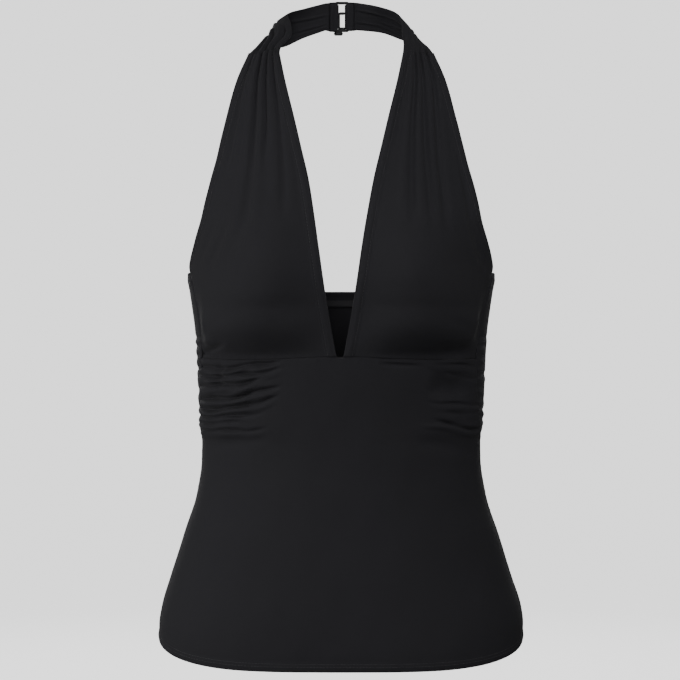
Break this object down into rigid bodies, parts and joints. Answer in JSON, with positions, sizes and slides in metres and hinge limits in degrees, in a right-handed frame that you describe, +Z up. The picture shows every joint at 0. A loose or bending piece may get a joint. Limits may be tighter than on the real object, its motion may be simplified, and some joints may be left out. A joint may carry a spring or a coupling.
{
  "type": "halter neck top",
  "caption": "Sleeveless close-fitting jersey top with gathered cups either side of a deep V, a neck band that clasps behind the neck, ruched side seams and a straight back.",
  "frame": {"origin": "the middle of the neck band's inner face at the nape, where the top hangs from the wearer's neck", "axes": "+X towards the wearer's left, -Y the way the wearer faces, +Z up"},
  "size_m": [0.3572, 0.2403, 0.6424],
  "materials": {
    "jersey": "matte black stretch jersey",
    "clasp": "satin black coated metal"
  },
  "bodies": {
    "root": {"left_cup": "jersey", "right_cup": "jersey", "front_body": "jersey", "back_panel": "jersey", "neck_band_left": "jersey", "neck_band_right": "jersey", "neck_clasp": "clasp"}
  },
  "joints": []
}
